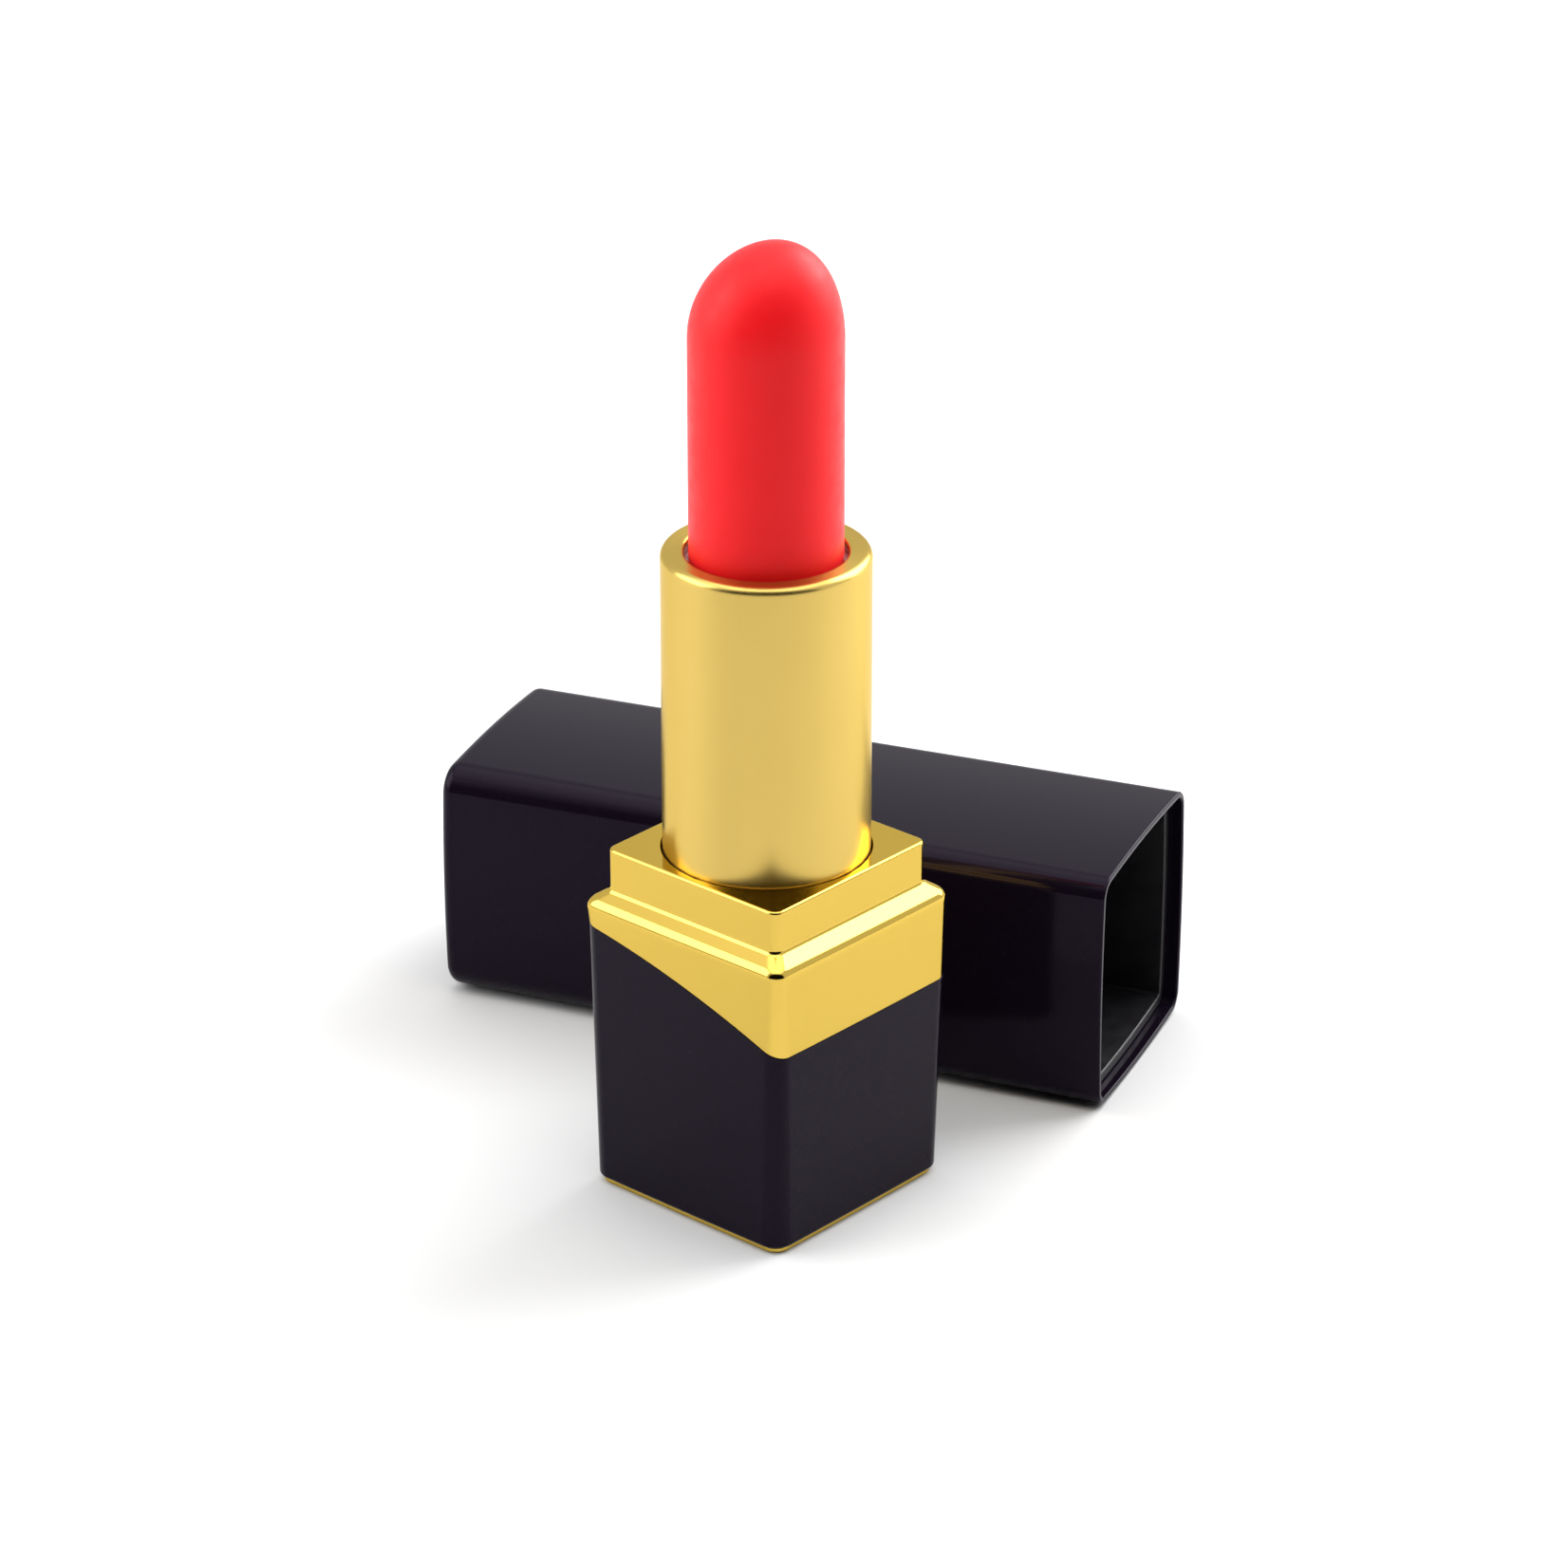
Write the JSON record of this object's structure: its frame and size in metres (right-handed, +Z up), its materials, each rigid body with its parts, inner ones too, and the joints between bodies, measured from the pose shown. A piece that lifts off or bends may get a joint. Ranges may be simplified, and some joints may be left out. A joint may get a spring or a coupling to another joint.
{
  "type": "lipstick case",
  "caption": "Square twist-up lipstick with a black base, gold collar and sleeve, a raised red bullet and its loose black cap lying behind.",
  "frame": {"origin": "centre of the underside of the base's foot, on the surface that the case stands on and the sleeve's turning axis", "axes": "+Z up along the turning axis; +X along the axis of the lying cap, towards its mouth; the cap lies on the +Y side of the base"},
  "size_m": [0.0597, 0.0538, 0.08],
  "materials": {
    "black_lacquer": "gloss black lacquer over aluminium",
    "black_plastic": "moulded black",
    "gold_polished": "polished gold anodised",
    "gold_satin": "satin gold anodised",
    "label": "blank matt label",
    "steel": "turned",
    "white_plastic": "moulded white",
    "rubber": "matt",
    "red_wax": "satin wax"
  },
  "bodies": {
    "base": {"foot_plate": "gold_polished", "shade_label": "label", "base_shell": "black_lacquer", "collar": "gold_polished", "base_insert": "black_plastic", "base_weight": "steel", "inner_body": "white_plastic", "brake_ring": "rubber"},
    "sleeve": {"outer_sleeve": "gold_satin", "spiral_sleeve": "white_plastic"},
    "carrier": {"carrier_cup": "white_plastic", "bullet": "red_wax"},
    "cap": {"cap_shell": "black_lacquer", "cap_liner": "black_plastic"}
  },
  "joints": [
    {"name": "sleeve_turn", "type": "hinge", "parent": "base", "child": "sleeve", "pos_m": [0, 0, 0.03], "axis": [0, 0, 1], "range_deg": [0, 450]},
    {"name": "bullet_lift", "type": "slide", "parent": "base", "child": "carrier", "axis": [0, 0, 1], "range_m": [-0.02601, 0]},
    {"name": "cap_lift", "type": "slide", "parent": "base", "child": "cap", "axis": [0, 0, 1], "range_m": [0, 0.09]}
  ],
  "couplings": [
    {"joint": "bullet_lift", "follows": "sleeve_turn", "m_per_rad": -0.0033117}
  ]
}
